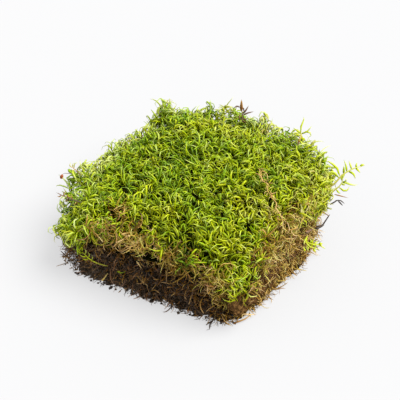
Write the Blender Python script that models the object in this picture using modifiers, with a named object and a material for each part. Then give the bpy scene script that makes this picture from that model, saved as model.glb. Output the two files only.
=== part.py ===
"""Moss clump: a square slab of living moss on its dead lower shoots and its humus, cut flat below.

The slab lies in three layers that share one outline: humus at the bottom, felted dead shoots over
it and the living cushion on top, which hangs down over the front corner. Single shoots, twigs and
one spore case stand out of the sides. Each solid reaches the tips of its leaves or fibres. Metres,
+Z up, origin on the surface that the clump rests on, below the middle of its overall box.
"""

import math

import bmesh
import bpy
from mathutils import Vector, noise

MM = 0.001
GAP = 0.4 * MM  # clear height between one layer and the next

# The outline of the layers, seen from above, anticlockwise from the front corner. It is drawn
# about the slab's middle, and BOX_MIDDLE takes it from there to the origin.
OUTLINE = [
    Vector((x * MM, y * MM))
    for x, y in (
        (38, -43), (45.5, -31), (49, -9), (52.5, 13), (51, 28), (43, 42), (32, 51),
        (12, 57), (-8, 61), (-28, 60), (-44, 53), (-53, 40), (-57, 19), (-61, -3),
        (-61, -22), (-59, -37), (-53, -46), (-40, -48.5), (-20, -48), (0, -47), (22, -45.5),
    )
]
FRONT_CORNER = math.radians(-45)  # direction from the slab's middle
LEFT_CORNER = math.radians(-146)
RIGHT_FACE = math.radians(0)

CELLS = 14  # grid squares across each layer
HUMUS_LEVEL = 13 * MM
DEAD_LEVEL = 32 * MM
CUSHION_LEVEL = 43 * MM
RISE = 4 * MM  # how much higher the layers reach at the right face than in the middle
HALF_WIDTH = 52.5 * MM
RIM_DROP = 5 * MM  # how far the cushion's top falls towards its rim
RIM_WIDTH = 0.28  # the share of the radius over which it falls
HUMMOCK_SIZE = 26 * MM
CUSHION_HUMMOCKS = (2, 3.2 * MM)  # a pattern's number and its height
DEAD_HUMMOCKS = (9, 2 * MM)
HUMUS_HUMMOCKS = (5, 2 * MM)
REAR_TUFT = Vector((-46, 47)) * MM  # the tallest tuft, at the back left
TUFT_HEIGHT = 6 * MM
TUFT_WIDTH = 11 * MM

# Where a layer's upper surface hangs down at the rim: direction, half width, drop.
CUSHION_DRAPES = (
    (FRONT_CORNER, math.radians(15), 27 * MM),
    (LEFT_CORNER, math.radians(16), 14 * MM),
)
DEAD_DRAPES = (
    (FRONT_CORNER, math.radians(20), 9 * MM),
    (LEFT_CORNER, math.radians(20), 6 * MM),
    (RIGHT_FACE, math.radians(36), 5 * MM),
)
DRAPE_WIDTH = 0.24  # the share of the radius that hangs
CUSHION_FOLLOWS = 0.45  # how much of its underside's drop the cushion's top takes

# Rings of each layer's wall, from its lower to its upper surface: share of the outline's radius,
# share of the wall's height.
HUMUS_WALL = ((0.975, 0), (0.99, 0.45), (0.99, 1))
DEAD_WALL = ((0.99, 0), (1.0, 0.4), (1.0, 1))
CUSHION_WALL = ((1.0, 0), (1.075, 0.12), (1.085, 0.5), (1.0, 1))

CUSHION_SIDE = max(width for width, height in CUSHION_WALL)
STANDOFF = 0.9 * MM  # from the slab to the middle of what starts beside it
TUBE_RESOLUTION = 2  # eight sides
BOX_MIDDLE = Vector((-2, 6.6, 0)) * MM

CAPSULE_LENGTH = 2.3 * MM
CAPSULE_RADIUS = 0.85 * MM
CAPSULE_RINGS = 8
CAPSULE_STEPS = 12


def clear_scene():
    for obj in list(bpy.data.objects):
        bpy.data.objects.remove(obj, do_unlink=True)


def new_collection(name):
    collection = bpy.data.collections.new(name)
    bpy.context.scene.collection.children.link(collection)
    return collection


def material(name, colour, roughness):
    found = bpy.data.materials.new(name)
    found.use_nodes = True
    shader = found.node_tree.nodes["Principled BSDF"]
    shader.inputs["Base Color"].default_value = (*colour, 1)
    shader.inputs["Roughness"].default_value = roughness
    shader.inputs["Metallic"].default_value = 0
    return found


def between(value, low, high):
    """0 below low, 1 above high and a smooth step from one to the other."""
    share = min(max((value - low) / (high - low), 0), 1)
    return share * share * (3 - 2 * share)


def turn_between(angle, other):
    """The smaller angle between two directions."""
    return abs((angle - other + math.pi) % math.tau - math.pi)


def outline_radius(angle):
    """The outline's distance from the middle, on a smooth closed curve through its points."""
    turns = [math.atan2(point.y, point.x) for point in OUTLINE]
    count = len(OUTLINE)
    after = min(range(count), key=lambda i: (turns[i] - angle) % math.tau)
    nearby = [(after + step) % count for step in (-2, -1, 0, 1)]
    a, b, c, d = (OUTLINE[i].length for i in nearby)
    span = (turns[nearby[2]] - turns[nearby[1]]) % math.tau
    share = ((angle - turns[nearby[1]]) % math.tau) / span
    slope_in, slope_out = (c - a) / 2, (d - b) / 2
    rise = 3 * share**2 - 2 * share**3
    bend_in = share - 2 * share**2 + share**3
    bend_out = share**3 - share**2
    return b + (c - b) * rise + slope_in * bend_in + slope_out * bend_out


def reach(place):
    """How far out a place is: 0 in the middle, 1 on the outline."""
    if place.length < GAP:
        return 0
    return place.length / outline_radius(math.atan2(place.y, place.x))


def drape(place, drapes):
    angle = math.atan2(place.y, place.x)
    hang = between(reach(place), 1 - DRAPE_WIDTH, 1)
    drops = (drop * math.exp(-((turn_between(angle, to) / width) ** 2)) for to, width, drop in drapes)
    return hang * sum(drops)


def rise(place):
    return RISE * place.x / HALF_WIDTH


def hummocks(place, pattern, height):
    spot = Vector((place.x, place.y, 0)) / HUMMOCK_SIZE
    return height * noise.noise(spot + Vector((0, 0, pattern)))


def ground(place):
    return 0


def humus_top(place):
    return HUMUS_LEVEL + rise(place) + hummocks(place, *HUMUS_HUMMOCKS) - drape(place, DEAD_DRAPES)


def dead_top(place):
    return DEAD_LEVEL + rise(place) + hummocks(place, *DEAD_HUMMOCKS) - drape(place, CUSHION_DRAPES)


def cushion_top(place):
    fall = RIM_DROP * between(reach(place), 1 - RIM_WIDTH, 1)
    hang = CUSHION_FOLLOWS * drape(place, CUSHION_DRAPES)
    tuft = TUFT_HEIGHT * math.exp(-(((place - REAR_TUFT).length / TUFT_WIDTH) ** 2))
    return CUSHION_LEVEL + rise(place) + hummocks(place, *CUSHION_HUMMOCKS) + tuft - fall - hang


def square_to_slab(u, v):
    """A place in the square from -1 to 1 taken to the slab: the square's rings become outlines."""
    ring = max(abs(u), abs(v))
    if ring == 0:
        return Vector((0, 0))
    angle = math.atan2(v, u)
    return Vector((math.cos(angle), math.sin(angle))) * ring * outline_radius(angle)


def gridded_block(rings):
    """A block from -1 to 1, with square cells above and below and the given wall rings."""
    mesh = bmesh.new()
    bmesh.ops.create_cube(mesh, size=2)
    upright = [e for e in mesh.edges if e.verts[0].co.z != e.verts[1].co.z]
    bmesh.ops.subdivide_edges(mesh, edges=upright, cuts=rings - 2)
    level = [e for e in mesh.edges if e.verts[0].co.z == e.verts[1].co.z]
    bmesh.ops.subdivide_edges(mesh, edges=level, cuts=CELLS - 1, use_grid_fill=True)
    return mesh


def layer(name, lower, upper, wall, lift, colour):
    """One layer of the slab, between two surfaces that are functions of a place."""
    mesh = gridded_block(len(wall))
    for vert in mesh.verts:
        u, v, w = vert.co
        ring = round((w + 1) / 2 * (len(wall) - 1))
        width, height = wall[ring]
        place = square_to_slab(u, v) * width
        low, high = lower(place) + lift, upper(place)
        vert.co = (place.x, place.y, low + (high - low) * height)
    bmesh.ops.triangulate(mesh, faces=mesh.faces, quad_method="SHORT_EDGE")
    bmesh.ops.recalc_face_normals(mesh, faces=mesh.faces)
    data = bpy.data.meshes.new(name)
    mesh.to_mesh(data)
    mesh.free()
    data.materials.append(material(name, colour, 0.9))
    data.shade_smooth()
    return bpy.data.objects.new(name, data)


def beside(degrees, height, share=1):
    """A place just off the slab's wall, in a direction from its middle."""
    angle = math.radians(degrees)
    radius = outline_radius(angle) * share + STANDOFF
    return Vector((math.cos(angle) * radius, math.sin(angle) * radius, height * MM))


def above(x, y, clear=0.9):
    """A place just above the cushion."""
    place = Vector((x, y)) * MM
    return Vector((place.x, place.y, cushion_top(place) + clear * MM))


def bend(start, end, bow, steps):
    """Points from start to end on a bow, which stands off the straight line in its middle."""
    for step in range(steps + 1):
        share = step / steps
        yield start.lerp(end, share) + bow * (4 * share * (1 - share))


def shoot(name, start, end, bow, radii, colour):
    """A shoot or twig as a bowed tube, with a radius in millimetres at each of its points."""
    curve = bpy.data.curves.new(name, "CURVE")
    curve.dimensions = "3D"
    curve.bevel_depth = MM
    curve.bevel_resolution = TUBE_RESOLUTION
    curve.use_fill_caps = True
    spline = curve.splines.new("POLY")
    spline.points.add(len(radii) - 1)
    route = bend(start, Vector(end) * MM, Vector(bow) * MM, len(radii) - 1)
    for point, place, radius in zip(spline.points, route, radii):
        point.co = (*place, 1)
        point.radius = radius
    curve.materials.append(material(name, colour, 0.8))
    return bpy.data.objects.new(name, curve)


def egg_profile():
    """Half of the spore case's outline, from its tip up to its narrow neck at the origin."""
    for ring in range(CAPSULE_RINGS + 1):
        share = ring / CAPSULE_RINGS
        swell = math.sin(math.pi * share) ** 0.8 * (1 - 0.25 * share)
        yield CAPSULE_RADIUS * swell, 0, -CAPSULE_LENGTH * (1 - share)


def capsule(name, neck, hang, colour):
    """The spore case, turned about its length and hung by its neck."""
    profile = bmesh.new()
    points = [profile.verts.new(point) for point in egg_profile()]
    for first, second in zip(points, points[1:]):
        profile.edges.new((second, first))
    data = bpy.data.meshes.new(name)
    profile.to_mesh(data)
    profile.free()
    data.materials.append(material(name, colour, 0.35))
    obj = bpy.data.objects.new(name, data)
    obj.location = Vector(neck) * MM
    obj.rotation_euler = Vector(hang).to_track_quat("-Z", "Y").to_euler()
    turn = obj.modifiers.new("turn", "SCREW")
    turn.axis = "Z"
    turn.angle = math.tau
    turn.steps = CAPSULE_STEPS
    turn.render_steps = CAPSULE_STEPS
    turn.use_merge_vertices = True
    turn.merge_threshold = 0.01 * MM
    turn.use_normal_calculate = True
    return obj


def build_layers():
    return [
        layer("humus_mat", ground, humus_top, HUMUS_WALL, 0, (0.035, 0.018, 0.009)),
        layer("dead_moss_layer", humus_top, dead_top, DEAD_WALL, GAP, (0.20, 0.11, 0.035)),
        layer("green_moss_cushion", dead_top, cushion_top, CUSHION_WALL, GAP, (0.22, 0.34, 0.02)),
    ]


def build_shoots():
    leafy = (0.5, 1.6, 2.4, 2.6, 2.4, 1.8, 0.5)
    slim = (0.4, 1.2, 1.7, 1.6, 1.0, 0.4)
    twig = (0.6, 0.6, 0.5, 0.35)
    hair = (0.25, 0.25, 0.25, 0.25, 0.25)
    green = (0.25, 0.36, 0.03)
    dead = (0.12, 0.06, 0.025)
    bark = (0.03, 0.02, 0.015)
    straw = (0.42, 0.27, 0.10)
    rows = (
        ("right_sprig", beside(32, 38, CUSHION_SIDE), (64, 49, 42), (1, -1, 1), leafy, green),
        ("right_sprig_lower", beside(28, 31, CUSHION_SIDE), (62, 38.5, 33), (1, -1, 0), slim, green),
        ("side_sprig", beside(0, 26), (60, 12, 15), (2.5, 0, 1), slim, green),
        ("rear_dead_sprig", above(-8.5, 55.6), (-11.5, 60.5, 50), (0, 0, 0), slim, dead),
        ("rear_green_sprig", above(26.5, 50.5), (27, 54, 54), (0, 0, 0), slim, green),
        ("fallen_shoot", beside(-128, 17), (-25, -50.2, 13.5), (0, -1.2, -2), slim, straw),
        ("left_dead_shoot", above(-54, -38, 2), (-63, -36.5, 34), (0, 0, 1), twig, dead),
        ("claw_twig", beside(27, 28), (61, 33, 26), (0, 0, 1), twig, bark),
        ("bark_stick", beside(23, 14), (54.5, 29.5, 20), (0.5, 0, 0), twig, bark),
        ("straw_needle", beside(-120, 1.2), (-25, -49.6, 9), (0, 0, 0), twig, straw),
        ("root_strand", beside(-56, 1.2), (32, -52, 1.2), (0, 0, 0.6), twig, bark),
        ("seta", above(-60.5, -20.5), (-67, -23.4, 37), (0, 0, 1.2), hair, dead),
    )
    return [shoot(*row) for row in rows]


def main():
    clear_scene()
    clump = new_collection("moss_clump")
    pieces = build_layers() + build_shoots()
    pieces.append(capsule("capsule", (-67.5, -23.6, 36.6), (-0.3, 0, -1), (0.16, 0.035, 0.01)))
    middle = bpy.data.objects.new("slab_middle", None)
    middle.location = -BOX_MIDDLE
    clump.objects.link(middle)
    for piece in pieces:
        clump.objects.link(piece)
        piece.parent = middle


main()
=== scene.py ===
"""A square slab of moss: living shoots with curved leaves over a felt of dead shoots, rootlets and humus."""
import itertools
import math

import bpy
import numpy as np
from bpy.props import FloatProperty, FloatVectorProperty, IntProperty, PointerProperty
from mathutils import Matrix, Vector, noise


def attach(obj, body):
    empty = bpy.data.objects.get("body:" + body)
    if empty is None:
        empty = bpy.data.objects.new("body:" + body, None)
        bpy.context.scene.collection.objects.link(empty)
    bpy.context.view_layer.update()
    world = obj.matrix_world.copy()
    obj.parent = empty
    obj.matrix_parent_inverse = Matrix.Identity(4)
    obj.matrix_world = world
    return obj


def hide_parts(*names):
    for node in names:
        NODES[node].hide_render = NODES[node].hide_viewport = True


bl_info = {
    "name": "Moss clump",
    "version": (1, 0, 0),
    "blender": (4, 5, 0),
    "location": "3D View > Sidebar > Moss",
    "description": "Builds a slab of moss on its dead shoots and humus, and the stage it stands on",
    "category": "Add Mesh",
}

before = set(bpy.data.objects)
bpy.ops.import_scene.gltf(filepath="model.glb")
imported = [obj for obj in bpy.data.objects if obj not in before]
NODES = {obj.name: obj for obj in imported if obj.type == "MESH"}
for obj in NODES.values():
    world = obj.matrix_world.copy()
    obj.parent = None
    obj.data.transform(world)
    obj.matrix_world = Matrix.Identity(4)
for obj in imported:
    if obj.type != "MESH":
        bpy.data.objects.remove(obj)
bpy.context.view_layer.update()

MM = 0.001
SLAB_MIDDLE = np.array((2.0, -6.6, 0.0))    # of its foot, in millimetres
UP, LEVEL = np.array((0.0, 0.0, 1.0)), np.array((1.0, 1.0, 0.0))
NEIGHBOURS = tuple(itertools.product((-1, 0, 1), repeat=3))
# how far up the faces of a layer may point: those of its sides, and all but those of its underside
SIDES, OUTSIDE = (-0.75, 0.75), (-0.35, 2.0)
PATTERN_SEED = 4
CORE_GRAIN = 1.5 * MM
LOWEST = 0.1 * MM    # no leaf or fibre goes lower
LEAF_MAP, MAP_MARGIN = "OFBake", 0.004

# the plane that faces the front right, in which the single shoots are laid out
TURN, TILT = math.radians(29.5), math.radians(40)
ACROSS = np.array((math.cos(TURN), math.sin(TURN), 0))
BACK = np.array((math.sin(TURN) * math.cos(TILT), -math.cos(TURN) * math.cos(TILT), math.sin(TILT)))
RISING = np.cross(BACK, ACROSS)
SPORE_CASE_FOOT = (-64, -22.5, 37)

# tints at both ends of stems and of leaves, and shades at both ends
GREEN, FRESH, BARK = (0.43, 0.56, 0.68, 0.6), (0.58, 0.64, 0.68, 0.6), (0.03, 0.06, 0.1, 0.1)
LIT, PALE, DULL = (0.7, 0.95), (0.8, 0.95), (0.7, 0.85)


# ---------------------------------------------------------------- small helpers

def at(*places):
    """Places on the slab, given in millimetres from the middle of its foot, as points of the frame."""
    return (np.array(places, float) + SLAB_MIDDLE) * MM


def rise(values, start, end):
    """0 up to the start, 1 from the end on, and a straight slope between them."""
    return np.clip((values - start) / (end - start), 0, 1)


def unit(vectors):
    """The same directions at length one."""
    return vectors / np.maximum(np.linalg.norm(vectors, axis=-1, keepdims=True), 1e-12)


def square_off(vectors, axes):
    """What is left of the vectors, at length one, once their share along the axes is taken away."""
    return unit(vectors - (vectors * axes).sum(-1, keepdims=True) * axes)


def any_direction(rng, count):
    """Directions spread evenly over a ball."""
    return unit(rng.normal(size=(count, 3)))


def drift(points, size, pattern, width=3):
    """Smooth random vectors that change over patches of the size in millimetres; one row for each point."""
    noise.seed_set(PATTERN_SEED)
    step = Vector((17.3 * pattern, 5.1 * pattern, -9.7 * pattern))
    found = [noise.noise_vector(Vector(p) / (size * MM) + step)[:width] for p in points]
    return np.array(found).reshape(len(points), width)


def patches(points, size, pattern):
    """A smooth random number for each point, about -1 to 1, that changes over patches of the size."""
    return drift(points, size, pattern, 1)[:, 0] * 1.6


def fresh_start():
    """Leaves edit mode and selects nothing, so that an operator changes only what comes next."""
    if bpy.context.mode != "OBJECT":
        bpy.ops.object.mode_set(mode="OBJECT")
    bpy.ops.object.select_all(action="DESELECT")


def corners_of(model):
    """The corners of a model in the frame, and its triangles."""
    model.data.calc_loop_triangles()
    points = np.array([model.matrix_world @ v.co for v in model.data.vertices])
    return points, np.array([t.vertices[:] for t in model.data.loop_triangles])


# ---------------------------------------------------------------- the outside of the slab's layers

class Skin:
    """The outside of some CAD layers: where the leaves and fibres of those layers end."""

    def __init__(self, nodes, least_up, most_up):
        """The faces of the nodes whose normal points up by no less and no more than the two limits."""
        layers = [corners_of(NODES[node]) for node in nodes]
        corners = np.concatenate([points[faces] for points, faces in layers])
        cross = np.cross(corners[:, 1] - corners[:, 0], corners[:, 2] - corners[:, 0])
        size = np.linalg.norm(cross, axis=1) / 2
        normal = unit(cross)
        chosen = (normal[:, 2] > least_up) & (normal[:, 2] < most_up) & (size > 0)
        self.corners, self.size, self.normal = corners[chosen], size[chosen], normal[chosen]
        self.middle = self.corners.mean(1)

    def facing(self, points, reach=7 * MM, lot=2000):
        """The outward direction near each point, smoothed over the faces round it, lot by lot."""
        out = np.empty_like(points)
        for first in range(0, len(points), lot):
            some = points[first:first + lot]
            apart = ((some[:, None, :] - self.middle[None]) ** 2).sum(-1)
            weight = np.exp(-apart / (2 * reach * reach)) * self.size[None]
            out[first:first + lot] = weight @ self.normal
        return unit(out)

    def scatter(self, rng, spacing, tries=9):
        """Points all over the skin, no two nearer than the spacing, and the outward direction at each."""
        count = int(self.size.sum() / spacing ** 2 * tries)
        pick = rng.choice(len(self.size), count, p=self.size / self.size.sum())
        a, b = rng.random((2, count, 1))
        fold = a + b > 1
        a, b = np.where(fold, 1 - a, a), np.where(fold, 1 - b, b)
        c = self.corners[pick]
        points = c[:, 0] + a * (c[:, 1] - c[:, 0]) + b * (c[:, 2] - c[:, 0])
        near, kept = {}, []
        for i, p in enumerate(points):
            across, back, up = cell = tuple(int(n) for n in p // spacing)
            around = [near.get((across + x, back + y, up + z), ()) for x, y, z in NEIGHBOURS]
            if all(((points[j] - p) ** 2).sum() > spacing ** 2 for js in around for j in js):
                near.setdefault(cell, []).append(i)
                kept.append(i)
        points = points[kept]
        return points, self.facing(points)


# ---------------------------------------------------------------- strands: every leaf, stem, fibre and root

def copies(points, faces, tint, shade):
    """Many copies of one model as vertices, triangles and map places, from a row of values for each."""
    points[..., 2] = np.maximum(points[..., 2], LOWEST)
    count, size = points.shape[:2]
    triangles = faces[None] + (np.arange(count) * size)[:, None, None]
    places = np.clip(np.stack([tint, shade], -1), MAP_MARGIN, 1 - MAP_MARGIN)
    return points.reshape(-1, 3), triangles.reshape(-1, 3), places.reshape(-1, 2)


def split_faces(mesh):
    """The faces of a mesh as triangles, split and ordered by the numbers of their corners."""
    triangles = []
    for face in mesh.polygons:
        corners = list(face.vertices)
        lowest = corners.index(min(corners))
        first, *others = corners[lowest:] + corners[:lowest]
        triangles += [(first, *two) for two in zip(others, others[1:])]
    return np.array(sorted(triangles))


class Blank:
    """A straight strand one unit long, pointed at both ends, modelled once and then bent along many paths."""

    def __init__(self, sides, profile):
        (first_height, first_half), *others, (last_height, _) = profile
        fresh_start()
        bpy.ops.mesh.primitive_cone_add(vertices=sides, radius1=0, radius2=first_half, depth=first_height,
                                        end_fill_type="NOTHING", location=(0, 0, first_height / 2))
        model = bpy.context.object
        bpy.ops.object.mode_set(mode="EDIT")
        bpy.ops.mesh.select_all(action="DESELECT")
        bpy.ops.mesh.select_non_manifold()
        height, half = first_height, first_half
        for next_height, next_half in others:
            bpy.ops.mesh.extrude_edges_move(TRANSFORM_OT_translate={"value": (0, 0, next_height - height)})
            grow = next_half / half
            bpy.ops.transform.resize(value=(grow, grow, 1), center_override=(0, 0, next_height))
            height, half = next_height, next_half
        bpy.ops.mesh.extrude_edges_move(TRANSFORM_OT_translate={"value": (0, 0, last_height - height)})
        bpy.ops.mesh.merge(type="CENTER")
        bpy.ops.mesh.select_all(action="SELECT")
        bpy.ops.mesh.normals_make_consistent(inside=False)
        bpy.ops.object.mode_set(mode="OBJECT")
        self.points, self.triangles = corners_of(model)[0], split_faces(model.data)
        self.levels, self.level_of = np.unique(self.points[:, 2].round(4), return_inverse=True)
        bpy.data.objects.remove(model)

    def bend(self, paths, across, half_width, thickness, tint, shade):
        """This blank along each path, as copies gives it. tint and shade are (value at the foot, value at the
        tip), each a number or a row with one for each path."""
        ahead = unit(np.gradient(paths, axis=1))
        across = square_off(across, ahead)
        front = np.cross(ahead, across)
        level, (x, y, z) = self.level_of, self.points.T
        half_width = np.broadcast_to(half_width, len(paths))
        wide = half_width[:, None, None] * x[None, :, None]
        deep = (half_width * thickness)[:, None, None] * y[None, :, None]
        points = paths[:, level] + wide * across[:, level] + deep * front[:, level]
        (u, u_tip), (v, v_tip) = (
            [np.broadcast_to(end, len(paths))[:, None] for end in ends] for ends in (tint, shade))
        tint, shade = u + (u_tip - u) * z + 0.006 * x, v + (v_tip - v) * z + 0.004 * y
        return copies(points, self.triangles, tint, shade)


def arcs(blank, start, heading, towards, length, turn, late=1.3):
    """Paths that set out along heading and bend by turn towards another direction, most of it late on."""
    towards = square_off(towards, heading)
    levels = blank.levels
    angle = (turn[:, None] * ((levels[1:] + levels[:-1]) / 2) ** late)[..., None]
    step = (np.diff(levels)[None] * length[:, None])[..., None]
    moves = step * (np.cos(angle) * heading[:, None] + np.sin(angle) * towards[:, None])
    paths = np.concatenate([np.zeros((len(start), 1, 3)), np.cumsum(moves, axis=1)], axis=1) + start[:, None]
    return paths, np.repeat(np.cross(heading, towards)[:, None], len(levels), axis=1)


def wander(blank, rng, start, heading, length, restless):
    """Paths that change course at random from level to level, as roots do."""
    points, course = [start], heading
    swing = any_direction(rng, len(start))
    for step in np.diff(blank.levels):
        swing = unit(swing + 0.8 * any_direction(rng, len(start)))
        course = unit(course + restless * swing)
        points.append(points[-1] + course * (step * length)[:, None])
    across = np.repeat(any_direction(rng, len(start))[:, None], len(points), axis=1)
    return np.stack(points, axis=1), across


def smooth_line(levels, points):
    """One smooth path through the given points, read at levels from 0 at its start to 1 at its end."""
    points = np.asarray(points, float)
    ends = np.concatenate([[2 * points[0] - points[1]], points, [2 * points[-1] - points[-2]]])
    place = np.asarray(levels) * (len(points) - 1)
    i = np.minimum(place.astype(int), len(points) - 2)
    t = (place - i)[:, None]
    p, q, r, s = ends[i], ends[i + 1], ends[i + 2], ends[i + 3]
    twice = 2 * q + (r - p) * t + (2 * p - 5 * q + 4 * r - s) * t ** 2 + (3 * q - p - 3 * r + s) * t ** 3
    return twice / 2


def piece(name, lots, material, stands_for=()):
    """A finished piece of the object from one or more lots of copies, riding on the slab."""
    points, _, places = (np.concatenate(rows) for rows in zip(*lots))
    starts = np.cumsum([0] + [len(lot[0]) for lot in lots])
    triangles = np.concatenate([lot[1] + start for lot, start in zip(lots, starts)])
    mesh = bpy.data.meshes.new(name)
    mesh.vertices.add(len(points))
    mesh.vertices.foreach_set("co", points.astype(np.float32).ravel())
    mesh.loops.add(triangles.size)
    mesh.loops.foreach_set("vertex_index", triangles.astype(np.int32).ravel())
    mesh.polygons.add(len(triangles))
    mesh.polygons.foreach_set("loop_start", np.arange(0, triangles.size, 3, dtype=np.int32))
    leaf_map = mesh.uv_layers.new(name=LEAF_MAP)
    leaf_map.data.foreach_set("uv", places[triangles.ravel()].astype(np.float32).ravel())
    mesh.update(calc_edges=True)
    mesh.shade_smooth()
    mesh.materials.append(material)
    made = bpy.data.objects.new(name, mesh)
    bpy.context.scene.collection.objects.link(made)
    return settle(made, stands_for)


def settle(made, stands_for=()):
    """The piece rides on the slab and stands for CAD nodes."""
    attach(made, "root")
    if stands_for:
        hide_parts(*stands_for)
    return made


# ---------------------------------------------------------------- shader maths as plain Python

class Value:
    """A number, colour or vector inside a material, so that its maths reads as plain Python."""

    def __init__(self, maker, socket):
        self.maker, self.socket = maker, socket

    def maths(self, operation, *others, turned=False):
        values = (*others, self) if turned else (self, *others)
        named = {str(i): v for i, v in enumerate(values)}
        return self.maker.node("ShaderNodeMath", {"operation": operation}, named)["Value"]

    def __radd__(self, other):
        return self.maths("ADD", other, turned=True)

    def __sub__(self, other):
        return self.maths("SUBTRACT", other)

    def __rsub__(self, other):
        return self.maths("SUBTRACT", other, turned=True)

    def __mul__(self, other):
        return self.maths("MULTIPLY", other)

    def __rmul__(self, other):
        return self.maths("MULTIPLY", other, turned=True)

    def __pow__(self, other):
        return self.maths("POWER", other)

    def between(self, low, high):
        """0 below low, 1 above high and a smooth step from one to the other."""
        settings = {"interpolation_type": "SMOOTHSTEP"}
        return self.maker.node("ShaderNodeMapRange", settings,
                               {"Value": self, "From Min": low, "From Max": high})["Result"]


class Maker:
    """A new material, and the one way that its nodes are made."""

    def __init__(self, name):
        self.material = bpy.data.materials.new(name)
        self.material.use_nodes = True
        self.tree = self.material.node_tree
        self.tree.nodes.clear()

    def node(self, kind, settings=None, inputs=None):
        """A node of a kind: its settings are made first, then its inputs are set or linked. Its outputs are
        read by name."""
        made = self.tree.nodes.new(kind)
        for name, value in (settings or {}).items():
            setattr(made, name, value)
        for name, value in (inputs or {}).items():
            socket = made.inputs[int(name)] if str(name).isdigit() else made.inputs[name]
            if isinstance(value, Value):
                self.tree.links.new(value.socket, socket)
            elif socket.type == "RGBA" and len(value) == 3:
                socket.default_value = (*value, 1)
            else:
                socket.default_value = value
        return {o.name: Value(self, o) for o in made.outputs if o.enabled}

    def mix(self, factor, first, second):
        """A colour between two colours."""
        made = self.node("ShaderNodeMix", {"data_type": "RGBA"}, {"0": factor, "6": first, "7": second})
        return made["Result"]

    def noise(self, where, size, detail=3.0, rough=0.55):
        """Cloudy noise from 0 to 1 whose patches are about size across."""
        return self.node("ShaderNodeTexNoise", None, {"Vector": where, "Scale": 1 / size, "Detail": detail,
                                                      "Roughness": rough})["Fac"]

    def ramp(self, place, stops):
        """The colour at a place from 0 to 1 along a row of (place, colour)."""
        found = self.node("ShaderNodeValToRGB", None, {"Fac": place})["Color"]
        elements = found.socket.node.color_ramp.elements
        while len(elements) < len(stops):
            elements.new(0.5)
        for element, (where, colour) in zip(elements, stops):
            element.position = where
        for element, (where, colour) in zip(elements, stops):
            element.color = (*colour, 1)
        return found

    def finish(self, shader):
        """Ends the material with a shader."""
        self.node("ShaderNodeOutputMaterial", None, {"Surface": shader})
        return self.material


def tone(red, green, blue):
    """A colour as it looks, 0 to 255 a channel, turned into the amounts of light that the materials use."""
    parts = np.array((red, green, blue)) / 255
    return tuple(np.where(parts <= 0.04045, parts / 12.92, ((parts + 0.055) / 1.055) ** 2.4).tolist())


# ---------------------------------------------------------------- what a user can change

class MossSettings(bpy.types.PropertyGroup):
    """Sizes and colours of the moss."""
    shoot_spacing: FloatProperty(
        name="Shoot spacing", description="Distance between living shoots at the top of the cushion",
        default=2.8 * MM, min=0.002, unit="LENGTH")
    leaf_length: FloatProperty(
        name="Leaf length", description="Length of a living leaf along its curve",
        default=7.8 * MM, min=0.001, unit="LENGTH")
    leaf_width: FloatProperty(
        name="Leaf width", description="Width of a living leaf at its widest",
        default=0.82 * MM, min=0.0001, unit="LENGTH")
    leaves: IntProperty(
        name="Leaves on a shoot", description="Number of leaves that show on a living shoot",
        default=15, min=4)
    fibre_width: FloatProperty(
        name="Fibre width", description="Width of a dead leaf or fibre", default=0.45 * MM, min=0.0001,
        unit="LENGTH")
    young_leaf: FloatVectorProperty(
        name="Young leaf", description="Yellow-green of young leaves and leaf tips", subtype="COLOR",
        default=tone(206, 216, 58), min=0, max=1)
    full_leaf: FloatVectorProperty(
        name="Full leaf", description="Green of full-grown leaves", subtype="COLOR",
        default=tone(142, 178, 24), min=0, max=1)
    deep_leaf: FloatVectorProperty(
        name="Deep leaf", description="Green of the leaves inside the cushion", subtype="COLOR",
        default=tone(72, 116, 14), min=0, max=1)
    straw: FloatVectorProperty(
        name="Straw", description="Colour of freshly dead leaves", subtype="COLOR",
        default=tone(226, 194, 126), min=0, max=1)
    fibre: FloatVectorProperty(
        name="Fibre", description="Brown of old dead shoots", subtype="COLOR",
        default=tone(144, 96, 48), min=0, max=1)
    humus: FloatVectorProperty(
        name="Humus", description="Dark brown of the humus", subtype="COLOR",
        default=tone(68, 57, 46), min=0, max=1)


TINT = {"humus": 0.02, "root": 0.1, "fibre": 0.22, "straw": 0.36, "wilted": 0.48, "young": 0.62, "full": 0.8,
        "deep": 0.98}


def strand_material():
    """The finish of every leaf, stem and fibre: u on the leaf map is the tint, v is how light it is, painted
    light and shade included.
    """
    old = bpy.data.materials.get("leaves and fibres")
    if old:
        return old
    s = bpy.context.scene.moss
    m = Maker("leaves and fibres")
    place = m.node("ShaderNodeUVMap", {"uv_map": LEAF_MAP})["UV"]
    split = m.node("ShaderNodeSeparateXYZ", None, {"0": place})
    wilted = tuple((np.array(s.straw) * 0.5 + np.array(s.full_leaf) * 0.5).tolist())
    colours = (s.humus, tone(98, 81, 62), s.fibre, s.straw, wilted, s.young_leaf, s.full_leaf, s.deep_leaf)
    colour = m.ramp(split["X"], [(place, tuple(c)) for place, c in zip(TINT.values(), colours)])
    green, earthy = split["X"].between(0.4, 0.6), split["X"].between(0.26, 0.14)
    # painted highlight: the lightest leaves and tips lose their colour towards white
    richness = 1.28 - 0.32 * earthy - (0.46 + 0.13 * green) * split["Y"] ** 4.0
    shaded = m.node("ShaderNodeHueSaturation", None, {
        "Saturation": richness, "Value": 0.03 + 1.17 * split["Y"], "Color": colour})["Color"]
    front = m.node("ShaderNodeBsdfPrincipled", None,
                   {"Base Color": shaded, "Roughness": 0.42, "Specular IOR Level": 0.32})["BSDF"]
    behind = m.node("ShaderNodeBsdfTranslucent", None, {"Color": shaded})["BSDF"]
    return m.finish(m.node("ShaderNodeMixShader", None, {"0": 0.28, "1": front, "2": behind})["Shader"])


# ---------------------------------------------------------------- what is where on the slab

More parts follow.
